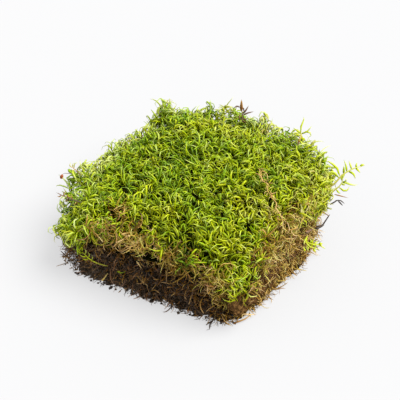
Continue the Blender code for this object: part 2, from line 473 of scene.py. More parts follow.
# Edges that go all the way round: direction from the slab's middle in degrees, and millimetres.
# GREEN_EDGE is the height of the lower edge of the green.
GREEN_EDGE = (
    (-180, 28), (-160, 20), (-146, 12), (-134, 14.5), (-128, 24), (-121, 32.5), (-110, 35.5), (-92, 36.8),
    (-78, 37), (-68, 36.3), (-60, 34.5), (-56, 30.5), (-53, 24), (-50, 18), (-46, 11), (-43, 8), (-39, 9),
    (-37, 22), (-35, 29), (-32, 33), (-28, 35.5), (-24, 36.5), (-12, 38), (-5, 38.4), (2, 38.8), (11, 38),
    (25, 35.5), (40, 29), (60, 25), (120, 24), (150, 24), (180, 26))
# HUMUS_EDGE is the height of the upper edge of the humus; at the right there is none.
HUMUS_EDGE = (
    (-180, 11), (-150, 14), (-134, 17), (-120, 20), (-85, 19), (-68, 17), (-60, 14), (-53, 10), (-47, 5),
    (-42, 1), (-36, -2), (35, -2), (48, 6), (60, 12), (150, 12), (180, 11))
# RIM_LIFT is how far the tufts at the rim stand above the CAD cushion.
RIM_LIFT = (
    (-180, 1.5), (-174, 4.5), (-168, 7.5), (-160, 9.5), (-153, 5), (-146, 1), (-60, 0), (25, 0), (38, 1),
    (48, 1), (58, 1), (62, 3), (67, 6), (72, 5), (77, 4), (81, 5.5), (86, 7), (91, 8), (96, 8.5), (100, 8.5),
    (103, 8), (107, 10), (112, 10), (116, 9), (119, 5), (123, 1.5), (127, -2), (132, -1), (135, 6.5),
    (138, 10.5), (142, 6.5), (146, 0), (154, 2), (158, -1), (165, 1), (174, 0.6), (180, 1.5))

# Spots: place on the slab and radius, in millimetres.
# CAVITIES are holes in the side, with painted shade in them.
CAVITIES = (
    (-39, -48.5, 17, 6), (-29, -48.5, 15, 3.5), (-21, -48, 20, 3.5), (-14.5, -48, 18, 4.5), (-6, -47, 21, 5),
    (0.5, -47, 19, 4.5), (-5, -47, 9, 3), (29, -45, 33, 4), (48, -25, 21, 6), (47, -31, 12, 4),
    (52, 20, 19, 3), (51, -5, 30, 3))
# AIRY is where the slab is loose and light comes through.
AIRY = ((-62, -42, 28, 15), (-66, -20, 28, 10), (-58, -47, 4, 12))
# HOLLOWS are the dips between the shoots at the top of the cushion.
HOLLOWS = (
    (-19.9, -4.6, 42, 3.5), (-10, -6.8, 43, 4), (-6.8, 7, 42, 3), (2.7, 7.2, 42, 2.5), (1.2, -25.8, 43, 3.5),
    (29.3, -17.2, 44, 3), (32.3, -24.8, 45, 3.5), (36, -19.5, 44, 3), (2.9, -34, 42, 4), (10.8, -2.7, 43, 3),
    (-21.2, 14, 40, 3), (-10.6, 27, 43, 2.5), (-36.3, 14.4, 40, 3), (-15.1, -18.9, 42, 3), (16, -27.4, 43, 3),
    (23, -43, 37, 5), (32, -42, 34, 4.5))
# DRAPE is where the shoots hang down, over the front corner and at the left corner.
DRAPE = ((40, -44, 12, 20), (36, -44, 28, 20), (44, -34, 28, 14), (-58, -42, 24, 14))
# WILTED are the patches of brown shoots in the cushion.
WILTED = ((-35, -33, 41, 6), (-29, -36, 41, 7), (-22, -38, 41, 5), (-1.6, -15.4, 44, 2.6), (50, -8, 38, 5))


def round_the_slab(places):
    """The direction of each place from the slab's middle, and how far out it is in millimetres."""
    x, y, _ = (places / MM - SLAB_MIDDLE).T
    return np.degrees(np.arctan2(y, x)), np.hypot(x, y)


def edge_at(points, edge):
    """The millimetres that an edge has in the direction of each point."""
    turned, height = np.array(edge, float).T
    return np.interp(round_the_slab(points)[0], turned, height)


def inside_outline(points, skin):
    """How many millimetres each point is inside the slab's outline, seen from above."""
    turned, far = round_the_slab(skin.corners.reshape(-1, 3))
    ways = np.arange(-180, 180, 5)
    outline = [far[np.abs((turned - way + 180) % 360 - 180) < 5].max() for way in ways]
    turned, far = round_the_slab(points)
    return np.interp(turned, ways, outline, period=360) - far


def over_green_edge(points):
    """How many millimetres each point is above the ragged edge where the green ends."""
    return points[:, 2] / MM - edge_at(points, GREEN_EDGE) + 1.3 * patches(points, 6, 61)


def between_edges(points):
    """Where each point is between the top of the humus, 0, and the foot of the green, 1, both ragged."""
    low, high = edge_at(points, HUMUS_EDGE), edge_at(points, GREEN_EDGE)
    return (points[:, 2] / MM - low + 1.8 * patches(points, 5, 67)) / np.maximum(high - low, 5)


def at_right(points):
    """0 in the middle of the slab, 1 at its right face, where everything is paler."""
    return rise(points[:, 0] / MM, 26, 46)


def front_foot(points):
    """1 at the foot of the front face, where the humus spreads over the table, and 0 away from it."""
    _, y, z = points.T / MM
    return rise(y, -36, -48) * rise(z, 9, 0)


def far_from(points, spot):
    """How far each point is from the middle of a spot, as a share of its radius."""
    *place, radius = spot
    return np.linalg.norm(points - at(place)[0], axis=1) / (radius * MM)


def nearness(points, spots, edge=1.0):
    """How deep each point lies in any of the spots: 0 outside, up to 1."""
    return np.max([rise(far_from(points, spot), 1.15, 1.15 - 0.5 * edge) for spot in spots], axis=0)


# ---------------------------------------------------------------- the three layers' insides

def core(name, node, material, inset, relief, lumps, sink=0):
    """The inside of a layer: its CAD solid drawn in at the sides by the inset and lowered by the sink where
    it is high, with bumps as high as the relief and as wide as the lumps. All are in millimetres."""
    fresh_start()
    made = bpy.data.objects.new(name, NODES[node].data.copy())
    bpy.context.scene.collection.objects.link(made)
    bpy.context.view_layer.objects.active = made
    made.select_set(True)
    made.data.materials.clear()
    while made.data.uv_layers:
        made.data.uv_layers.remove(made.data.uv_layers[0])
    remesh = made.modifiers.new("even faces", "REMESH")
    remesh.mode, remesh.voxel_size = "VOXEL", CORE_GRAIN
    bpy.ops.object.modifier_apply(modifier=remesh.name)
    mesh = made.data
    points = np.array([v.co[:] for v in mesh.vertices])
    out = np.array([v.normal[:] for v in mesh.vertices])
    z = points[:, 2] / MM
    bumps = 0.6 * drift(points, lumps, 31) + 0.35 * drift(points, lumps / 2.5, 47)
    rough = patches(points, 4, 83) + 0.6 * patches(points, 1.8, 89)
    dent = sum(np.clip(1.3 - far_from(points, spot), 0, 0.6) for spot in CAVITIES)
    spread = 3.4 * front_foot(points) - 2.2 * at_right(points) + 1.8 * rough * rise(z, 9.6, 1.6)
    inward = unit((SLAB_MIDDLE * MM - points) * LEVEL)
    shift = out * LEVEL * (spread - inset - 6 * dent)[:, None]
    shift += inward * 11 * nearness(points, AIRY, 2.0)[:, None]
    points += (shift + bumps * relief - UP * sink * rise(z, 15.4, 29.4)[:, None]) * MM
    points[:, 2] = np.where(z < 0.9, 0.05 * MM, np.maximum(points[:, 2], 0.4 * MM))
    mesh.vertices.foreach_set("co", points.astype(np.float32).ravel())
    mesh.update()
    mesh.shade_smooth()
    mesh.materials.append(material)
    return settle(made, (node,))


def earth_material(name, dark, middle, light, fine):
    """Rotted plant matter: three browns in two grains, toasted at the right and paler at the left."""
    m = Maker(name)
    where = m.node("ShaderNodeTexCoord")["Object"]
    coarse, grain = m.noise(where, 6 * MM), m.noise(where, fine * MM, 5.0, 0.7)
    base = m.mix(coarse.between(0.42, 0.6), dark, middle)
    grained = m.mix(grain.between(0.52, 0.75), base, light)
    toasted = m.mix(grain.between(0.42, 0.68), tone(56, 37, 20), tone(128, 94, 54))
    place = m.node("ShaderNodeSeparateXYZ", None, {"0": where})["X"]
    colour = m.mix(0.85 * place.between(34 * MM, 46 * MM), grained, toasted)
    colour = m.mix(0.3 * place.between(-18 * MM, -48 * MM), colour, light)
    bump = m.node("ShaderNodeBump", None, {"Height": grain, "Strength": 0.8, "Distance": 0.5 * MM})["Normal"]
    return m.finish(m.node("ShaderNodeBsdfPrincipled", None, {
        "Base Color": colour, "Roughness": 0.95, "Specular IOR Level": 0.0, "Normal": bump})["BSDF"])


# ---------------------------------------------------------------- humus

# the blanks of all strands: number of sides, then (place along the strand, half width) up to its tip
LEAF = Blank(3, ((0.07, 0.66), (0.25, 1.0), (0.50, 0.84), (0.78, 0.46), (1.0, 0)))
LONG_LEAF = Blank(3, ((0.08, 0.6), (0.28, 1.0), (0.52, 0.86), (0.78, 0.5), (1.0, 0)))
STEM = Blank(4, ((0.03, 1.0), (0.35, 0.95), (0.7, 0.85), (1.0, 0)))
THREAD = Blank(3, ((0.05, 0.9), (0.25, 1.0), (0.45, 1.0), (0.65, 0.85), (0.85, 0.6), (1.0, 0)))
TWIG = Blank(6, (
    (0.02, 0.9), (0.15, 1.0), (0.3, 0.95), (0.45, 0.98), (0.6, 0.85), (0.75, 0.8), (0.9, 0.6), (1.0, 0)))


def humus_points(rng, skin, spacing, least, most, deepest=0.0):
    """Points spread over the humus and, at the right, over all that is lower than the deepest height, with
    the outward direction at each and how far on the front foot it is. Sizes are in millimetres."""
    points, out = skin.scatter(rng, spacing * MM)
    count = len(points)
    kept = between_edges(points) < rng.uniform(least, most, count)
    to_right = np.clip(2.2 * at_right(points), 0, 1)
    kept |= to_right * (deepest - points[:, 2] / MM) > rng.uniform(0, 8, count)
    return points[kept], out[kept], front_foot(points[kept])


def rootlets(rng, skin, spacing, thinnest, thickest, longest, pale):
    """A lot of rootlets that lie over the humus every way, half sunk in it. Sizes are in millimetres."""
    points, out, front = humus_points(rng, skin, spacing, -0.1, 0.35, 15.0)
    count = len(points)
    x, _, z = points.T / MM
    airy, right, left, near_foot = nearness(points, AIRY), at_right(points), rise(x, -8, -28), rise(z, 5, 0)
    roll = unit(np.cross(out, any_direction(rng, count)))
    stand = rng.uniform(-0.3, 0.5, count) + 0.7 * airy + 0.5 * near_foot * front
    course = unit(out * stand[:, None] + roll + 0.3 * any_direction(rng, count) - 0.2 * UP)
    sunk = right - 2.9 * front + 5 * airy * rng.random(count) + rng.uniform(0, 3, count)
    length = rng.uniform(2.5, longest, count) * (1 - 0.4 * near_foot * (1 - airy)) * MM
    paths, across = wander(THREAD, rng, points - out * sunk[:, None] * MM, course, length, 0.5)
    paths[..., 2] = np.maximum(paths[..., 2], 0.15 * MM)
    blotch = patches(points, 7, 97)
    bright = np.clip(rng.random(count) ** 1.6 + pale * rng.random(count) + 0.35 * blotch, 0, 1)
    tint = 0.05 + (0.2 + 0.04 * right) * bright + 0.12 * right + rng.normal(0, 0.02, count)
    shade = 0.5 + 0.6 * bright - 0.05 * right + 0.3 * left + 0.2 * near_foot * front + 0.2 * blotch
    tint, shade = np.clip(tint, 0.01, 0.4), np.clip(shade, 0.1, 1)
    half = rng.uniform(thinnest, thickest, count) * MM
    return THREAD.bend(paths, across, half, 1, (tint, tint + 0.02), (shade * 0.6, shade))


def crumbs(rng, skin):
    """Crumbs of humus: small angular lumps, each turned and stretched its own way."""
    places, out, front = humus_points(rng, skin, 1.3, -0.2, 0.1)
    count = len(places)
    deep = rng.uniform(-1.8, 0.3, count) + 3.2 * front
    sizes = rng.uniform(0.3, 1.0, count) ** 1.8 * (0.9 + 0.3 * front - 0.5 * nearness(places, AIRY)) * MM
    fresh_start()
    bpy.ops.mesh.primitive_ico_sphere_add(subdivisions=1, radius=1)
    shape, faces = corners_of(bpy.context.object)
    bpy.data.objects.remove(bpy.context.object)
    first = any_direction(rng, count)
    second = square_off(any_direction(rng, count), first)
    turned = np.stack([first, second, np.cross(first, second)], 1)
    rough = shape * rng.uniform(0.6, 1.25, (count, len(shape), 1)) * rng.uniform(0.5, 1.3, (count, 1, 3))
    points = (places + out * deep[:, None] * MM)[:, None] + sizes[:, None, None] * (rough @ turned)
    tint = np.clip(rng.normal(0.08, 0.06, count), 0.01, 0.36)[:, None] + 0.008 * shape[:, 0]
    shade = rng.uniform(0.2, 0.7, count)[:, None] + 0.01 * shape[:, 2]
    return copies(points, faces, tint, shade)


class MOSS_OT_humus(bpy.types.Operator):
    """The dark humus at the foot of the slab, with its crumbs and rootlets"""
    bl_idname = "moss.humus"
    bl_label = "Humus and rootlets"

    def execute(self, context):
        s = context.scene.moss
        dark, middle = (tuple(share * c for c in s.humus) for share in (0.22, 0.8))
        soil = earth_material("humus", dark, middle, tone(142, 121, 94), 0.7)
        core("humus_core", "humus_mat", soil, inset=2.2, relief=3.4, lumps=5)
        rng = np.random.default_rng(11)
        skin = Skin(["humus_mat", "dead_moss_layer"], *SIDES)
        fine = rootlets(rng, skin, spacing=0.85, thinnest=0.06, thickest=0.17, longest=7.5, pale=0.1)
        coarse = rootlets(rng, skin, spacing=1.6, thinnest=0.15, thickest=0.42, longest=9.0, pale=0.75)
        piece("rootlets", [fine, coarse], strand_material())
        piece("humus_crumbs", [crumbs(rng, skin)], strand_material())
        return {"FINISHED"}


# ---------------------------------------------------------------- shoots

def grow_shoots(rng, tips, axes, lean, size, habit, tint, shade):
    """Shoots: a stem to each tip, and curved leaves in a spiral along its last stretch, all bent over to one
    side. Leaves low on a shoot are darker, partly their age and partly painted shade deep in the cushion,
    and each leaf has painted shade at its foot and a painted highlight at its tip. Gives the strands of the
    stems and of the leaves."""
    count, leaf_count, reach = len(tips), habit["leaves"], habit["reach"]
    feet = tips - axes * (reach * size * 1.25)[:, None] - habit["sink"] * UP
    stem_paths, stem_across = arcs(STEM, feet, unit(tips - feet), lean, np.linalg.norm(tips - feet, axis=1),
                                   np.full(count, 0.2))
    stems = STEM.bend(stem_paths, stem_across, habit["stem"], 1, (habit["stem_tint"], tint),
                      (shade * 0.45, shade * 0.8))
    side = unit(np.cross(axes, lean))
    other = np.cross(axes, side)
    place = np.linspace(0.08, 1.0, leaf_count)[None] + rng.normal(0, 0.025, (count, leaf_count))
    spin = np.arange(leaf_count)[None] * 2.4 + rng.uniform(0, 6.28, (count, 1))
    spin = spin + rng.normal(0, 0.3, place.shape)
    radial = np.cos(spin)[..., None] * side[:, None] + np.sin(spin)[..., None] * other[:, None]
    opening = habit["opening"] - 46 * place + rng.normal(0, 10, place.shape)
    opening = np.radians(np.clip(opening, 6, 88))[..., None]
    heading = np.cos(opening) * axes[:, None] + np.sin(opening) * radial
    down = (1 - place) * reach * size[:, None] + 0.3 * habit["length"]
    start = tips[:, None] - axes[:, None] * down[..., None]
    towards = lean[:, None] * rng.uniform(0.2, 1.3, (*place.shape, 1)) - habit["droop"] * axes[:, None]
    towards += 0.65 * any_direction(rng, place.size).reshape(*place.shape, 3)
    total = place.size

    def flat(values):
        return np.broadcast_to(values, place.shape).reshape(total)

    turn = flat(rng.normal(habit["turn"], 0.33 * habit["turn"], place.shape))
    length = habit["length"] * size[:, None] * (0.78 + 0.35 * np.sin(place * 2.6))
    length = flat(length * rng.uniform(0.7, 1.25, place.shape))
    start, heading, towards = (rows.reshape(total, 3) for rows in (start, unit(heading), towards))
    paths, across = arcs(LEAF, start, heading, towards, length, turn, habit["late"])
    age_and_shade = flat(1 - place)
    leaf_tint = flat(tint[:, None]) + habit["spread"] * rng.normal(0, 1, total) + habit["aging"] * age_and_shade
    # painted shade: leaves low on the shoot, deep in the cushion, are darker, partly their age as well
    leaf_shade = flat(shade[:, None]) * (1.0 - 0.45 * age_and_shade) + habit["mottle"] * rng.normal(0, 1, total)
    half = flat(habit["width"] * size[:, None] / 1.8) * rng.uniform(0.75, 1.25, total)
    tints = (np.clip(leaf_tint, *habit["tints"]), np.clip(leaf_tint - 0.05, *habit["tints"]))
    # painted shade at the foot of each leaf and a painted highlight at its tip
    shades = (np.clip(leaf_shade - 0.35, 0.03, 1), np.clip(leaf_shade + 0.18, 0.05, 1))
    return stems, LEAF.bend(paths, across, half, 0.55, tints, shades)


def living_habit(s):
    """How a living shoot grows: angles in degrees but turn in radians, late as arcs takes it."""
    return {"leaves": s.leaves, "reach": 7.5 * MM, "sink": 0.8 * MM, "length": s.leaf_length,
            "width": s.leaf_width, "turn": 4.2, "late": 1.1, "droop": 0.1, "opening": 68, "stem": 0.2 * MM,
            "stem_tint": 0.42, "spread": 0.05, "aging": 0.06, "mottle": 0.13, "tints": (0.4, 0.99)}


def dead_habit(s, **changes):
    """How a dead shoot lies: longer, thinner and browner than a living one."""
    return {"leaves": 10, "reach": 8 * MM, "sink": 0, "length": 7.4 * MM, "width": 1.35 * s.fibre_width,
            "turn": 3.0, "late": 0.95, "droop": 0.3, "opening": 74, "stem": 0.17 * MM,
            "stem_tint": TINT["fibre"], "spread": 0.045, "aging": -0.05, "mottle": 0.2,
            "tints": (0.08, 0.5)} | changes


# ---------------------------------------------------------------- dead layer

def dead_colours(rng, points):
    """Tint and shade: olive at the green edge, straw below it, then brown, golden on the right face, and
    painted shade in the cavities.
    """
    count, x = len(points), points[:, 0] / MM
    up, right = between_edges(points), at_right(points)
    # painted shade: the cavities make the dead shoots in them darker and browner
    hole, noisy = nearness(points, CAVITIES), patches(points, 9, 4)
    levels = (-0.3, 0, 0.3, 0.7, 1.1)
    tint = np.interp(up, levels, (0.12, 0.21, 0.33, 0.385, 0.44)) + 0.04 * noisy - 0.1 * hole
    tint -= 0.015 * right * up + 0.05 * up * rise(x, -10, -20) * (1 - nearness(points, DRAPE))
    shade = np.interp(up, levels, (0.55, 0.72, 0.92, 0.95, 0.84)) + 0.08 * right * up + 0.1 * right
    shade += 0.1 * np.clip(-x / 12, -1.8, 1) * (1 - right) + 0.2 * noisy - 0.5 * hole
    return tint + rng.normal(0, 0.04, count), np.clip(shade + rng.normal(0, 0.12, count), 0.1, 1)


def dead_points(rng, skin, spacing):
    """Points below the green edge and above the humus, few of them in the cavities, and the ways out."""
    points, out = skin.scatter(rng, spacing * MM)
    count = len(points)
    drop = np.maximum(nearness(points, DRAPE), 0.8 * at_right(points))
    kept = over_green_edge(points) < rng.normal(-0.2, 0.8, count) - drop
    kept &= between_edges(points) > rng.normal(-0.02, 0.12, count)
    kept &= rng.random(count) > 0.85 * nearness(points, CAVITIES)
    return points[kept], out[kept]


def dead_shoots(rng, skin, habit):
    """Dead shoots that lie over one another, sunk deeper at the foot of the right face."""
    tips, out = dead_points(rng, skin, 2.8)
    count = len(tips)
    along = unit(np.cross(out, any_direction(rng, count)) - 0.3 * UP)
    axes = unit(along + out * rng.uniform(0.0, 0.5, (count, 1)))
    lean = square_off(any_direction(rng, count) - 0.4 * UP + 0.3 * out, axes)
    tint, shade = dead_colours(rng, tips)
    size = np.clip(rng.normal(1, 0.2, count), 0.6, 1.5)
    low = at_right(tips) * rise(tips[:, 2] / MM, 22.4, 6.4)
    depth = rng.uniform(0.8, 3.4, count) + 3.0 * low
    tips, size = tips - out * depth[:, None] * MM, size * (1 - 0.2 * low)
    return grow_shoots(rng, tips, axes, lean, size, habit, tint, shade)


def dead_fibres(rng, skin, width):
    """Loose dead leaves between the dead shoots: the bigger, the paler and the nearer to the outside."""
    points, out = dead_points(rng, skin, 1.35)
    count = len(points)
    big = rng.random(count) ** 1.8
    roll = unit(np.cross(out, any_direction(rng, count)))
    course = unit(roll + out * rng.uniform(-0.2, 0.4, (count, 1)) - 0.25 * UP)
    start = points - out * (rng.uniform(0.5, 4.8, count) * (1 - 0.5 * big))[:, None] * MM
    length = (rng.uniform(2.5, 6.0, count) + 4.5 * big) * MM
    towards, turn = any_direction(rng, count), rng.normal(2.3, 1.0, count)
    paths, across = arcs(LONG_LEAF, start, course, towards, length, turn, 1.0)
    paths[..., 2] = np.maximum(paths[..., 2], 0.2 * MM)
    tint, shade = dead_colours(rng, points)
    tint, shade = tint + 0.05 * big, np.clip(shade - 0.38 + 0.74 * big, 0.08, 1)
    half = (rng.uniform(0.25, 0.5, count) + 0.4 * big) * width
    return LONG_LEAF.bend(paths, across, half, 0.6, (tint - 0.02, tint + 0.02), (shade * 0.6, shade))


class MOSS_OT_dead_layer(bpy.types.Operator):
    """The felt of dead shoots: straw-coloured leaves above, brown fibres below"""
    bl_idname = "moss.dead_layer"
    bl_label = "Dead shoots"

    def execute(self, context):
        s = context.scene.moss
        # the felt core is dark brown, partly its own colour and partly painted shade between the dead shoots
        felt = earth_material("dead felt", tone(20, 13, 7), tone(50, 34, 17), tone(92, 66, 34), 0.8)
        core("dead_core", "dead_moss_layer", felt, inset=4.5, relief=2.2, lumps=6)
        rng = np.random.default_rng(23)
        skin = Skin(["humus_mat", "dead_moss_layer", "green_moss_cushion"], *SIDES)
        piece("dead_shoots", dead_shoots(rng, skin, dead_habit(s)), strand_material())
        piece("dead_fibres", [dead_fibres(rng, skin, s.fibre_width)], strand_material())
        return {"FINISHED"}


# ---------------------------------------------------------------- living cushion

def living_points(rng, skin, spacing):
    """Points above the green edge, a little lower at the rear and where the shoots hang down, and fewer where
    the slab is loose, with the ways out."""
    points, out = skin.scatter(rng, spacing)
    count = len(points)
    rear = rise(points[:, 1] / MM, 10, 30) * (1 - at_right(points))
    low_rim = np.maximum(1.8 * nearness(points, DRAPE), 2.4 * rear)
    kept = over_green_edge(points) > rng.normal(2.6, 0.6, count) - low_rim
    kept &= rng.random(count) > 0.66 * nearness(points, AIRY)
    return points[kept], out[kept]


def living_colours(rng, points, corner, rim, sunk, hanging):
    """Tint and shade of living shoots: yellow-green, brown towards the green edge, with painted shade where
    they are sunk, hang down or face the front, and painted light towards the rear and where the light comes
    in from the side."""
    count, (x, y, _), right = len(points), points.T / MM, at_right(points)
    fading = rise(over_green_edge(points), 9, 0)
    # painted shade: the upper band of the front face, which faces away from the light, is darker
    front = (1 - right) * rise(y, -33, -43) * (1 - corner) * rise(x, -30, -10)
    # painted light: paler and yellower at the rear and left rim, at the far left and at the right edge
    lit = np.max([rim * rise(y - x, -30, 30), rise(x, -45, -54), 0.3 * rise(x + 0.3 * y, 42, 52)], axis=0)
    tint = 0.71 + 0.07 * patches(points, 16, 21) + 0.04 * rng.normal(0, 1, count) - 0.0009 * x
    tint -= fading * (0.08 + 0.08 * right) * (1 - 0.7 * np.maximum(corner, front)) + 0.07 * lit
    # painted shade where the tips are sunk, on shoots that hang down and on the front band; painted light
    # towards the rear
    shade = 1.04 - 0.04 * right - 0.08 * sunk + 0.07 * patches(points, 7, 33) + 0.08 * rng.normal(0, 1, count)
    shade += 0.19 * rise(y, 0, 40) - 0.1 * hanging * (x > 0) - front * (0.16 + 0.26 * fading)
    return tint, np.clip(shade, 0.2, 1) + 0.26 * lit


def living_shoots(rng, skin, spacing):
    """The lie of every living shoot: place on the cushion, tip, axis, lean, size, tint and shade."""
    points, out = living_points(rng, skin, spacing)
    count, z = len(points), points[:, 2] / MM
    corner = nearness(points, DRAPE)
    flat_top = np.clip(out[:, 2], 0, 1)[:, None]
    lean = drift(points, 9, 3) * (1, 1, 0.2) + 0.35 * any_direction(rng, count)
    axes = unit(UP * (0.45 + 0.6 * flat_top) + out * (1.0 - 0.55 * flat_top) + 0.75 * lean
                + 0.25 * any_direction(rng, count))
    hanging = rise(z, 34, 24) * corner
    axes = unit(axes - UP * (0.7 * hanging)[:, None])
    lean = square_off(lean + 0.3 * any_direction(rng, count), axes)
    rim = rise(inside_outline(points, skin), 11.5, 1.5) * rise(z, 20, 26)
    lift = rim * edge_at(points, RIM_LIFT) * np.clip(0.8 + 0.7 * patches(points, 5, 71), 0.2, 1.3)
    sunk = 1.7 - 1.2 * rim + 1.0 * rng.normal(0, 1, count) + 1.9 * patches(points, 5.5, 9)
    sunk = np.clip(sunk, -1.2, 5.5) + 2.4 * nearness(points, HOLLOWS)
    tips = points + (UP * (lift * rng.uniform(0.6, 1.15, count))[:, None] - out * sunk[:, None]) * MM
    size = np.clip(rng.normal(1.0, 0.16, count), 0.7, 1.45) + 0.02 * np.abs(lift) + 0.06 * at_right(points)
    return points, tips, axes, lean, size, *living_colours(rng, points, corner, rim, sunk, hanging)


class MOSS_OT_cushion(bpy.types.Operator):
    """The living cushion: shoots side by side, each with its curved leaves"""
    bl_idname = "moss.cushion"
    bl_label = "Living shoots"

    def execute(self, context):
        s = context.scene.moss
        # painted shade: a near-black bed under the shoots stands for the shaded depth of the cushion
        bed = earth_material("shaded stems", tone(10, 12, 3), tone(30, 32, 8), tone(58, 56, 18), 1.0)
        core("cushion_bed", "green_moss_cushion", bed, inset=7, relief=2.0, lumps=6, sink=7)
        rng = np.random.default_rng(5)
        skin = Skin(["green_moss_cushion"], *OUTSIDE)
        points, *lie, tint, shade = living_shoots(rng, skin, s.shoot_spacing)
        wilted = nearness(points, WILTED) * rng.random(len(points)) > 0.5
        living, dead = living_habit(s), dead_habit(s, width=0.75 * s.leaf_width, tints=(0.1, 0.62), turn=2.4)
        quarter = (points[:, 0] > 0).astype(int) + 2 * (points[:, 1] > 0)
        for index, name in enumerate(("front_left", "front_right", "rear_left", "rear_right")):
            here = (quarter == index) & ~wilted
            made = grow_shoots(rng, *(rows[here] for rows in lie), living, tint[here], shade[here])
            piece(f"living_shoots_{name}", made, strand_material())
        brown = rng.normal(0.36, 0.06, wilted.sum())
        made = grow_shoots(rng, *(rows[wilted] for rows in lie), dead, brown, shade[wilted] * 0.8)
        piece("wilted_shoots", made, strand_material())
        return {"FINISHED"}


# ---------------------------------------------------------------- single shoots, leaves and twigs

def laid_out(blank, rng, foot, line, spread):
    """A path through a line of (across, rising) millimetres from a foot on the slab, in the plane that faces
    the front right, as a pressed sprig lies. Its far end leans out of that plane by up to the spread."""
    across, rising = np.array(line, float).T[..., None]
    away = np.linspace(0, 1, len(line))[:, None] ** 1.5 * rng.uniform(-spread, spread)
    points = across * ACROSS + rising * RISING + away * BACK
    path = smooth_line(blank.levels, at(foot)[0] + points * MM)
    return path, np.cross(unit(np.gradient(path, axis=0)), BACK)


def sprig(rng, name, node, slot, foot, halves, tints, shades, stems, leaves):
    """A single shoot whose stems and leaves each have their own line, as the tables below give it."""
    lots = []
    for blank, lines, half, thickness, (first, last), spread in (
            (TWIG, stems, halves[0], 1, tints[:2], 0.4), (LONG_LEAF, leaves, halves[1], 0.5, tints[2:], 2.2)):
        if not lines:
            continue
        count = len(lines)
        paths, across = zip(*(laid_out(blank, rng, foot, line, spread) for line in lines))
        tint, shade = rng.normal(0, 0.02, count), rng.normal(0, 0.05, count)
        half = rng.uniform(0.85, 1.15, count) * half * MM
        ends = (tint + first, tint + last), (shade + shades[0], shade + shades[1])
        lots.append(blank.bend(np.stack(paths), np.stack(across), half, thickness, *ends))
    return piece(name, lots, strand_material(), node)


def lying_shoot(rng, name, node, slot, halves, tints, shades, leaves, length, lines):
    """A shoot or root along lines of places on the slab, with short leaves beside the first line."""
    paths = np.stack([smooth_line(TWIG.levels, at(*line)) for line in lines])
    upright = square_off(np.broadcast_to(UP, paths.shape), unit(np.gradient(paths, axis=1)))
    lots = [TWIG.bend(paths, upright, halves[0] * MM, 1, tints, shades)]
    if leaves:
        line, place = at(*lines[0]), np.linspace(0.06, 0.97, leaves)
        start = smooth_line(place, line)
        course = unit(smooth_line(np.minimum(place + 0.03, 1), line) - smooth_line(place - 0.03, line))
        side = unit(np.cross(course, UP)) * np.where(np.arange(leaves) % 2, 1, -1)[:, None]
        raised = rng.uniform(-0.1, 0.7, (leaves, 1)) * UP
        heading = unit(0.7 * course + side + raised + 0.3 * any_direction(rng, leaves))
        towards = course + 0.4 * any_direction(rng, leaves)
        lengths = rng.uniform(0.7, 1.2, leaves) * length * MM
        paths, across = arcs(LEAF, start, heading, towards, lengths, rng.uniform(0.3, 1.8, leaves))
        tint = rng.normal(0, 0.02, leaves) + tints[1]
        half = rng.uniform(0.8, 1.2, leaves) * halves[1] * MM
        lots.append(LEAF.bend(paths, across, half, 0.6, (tint, tint + 0.03), shades))
    return piece(name, lots, strand_material(), node)


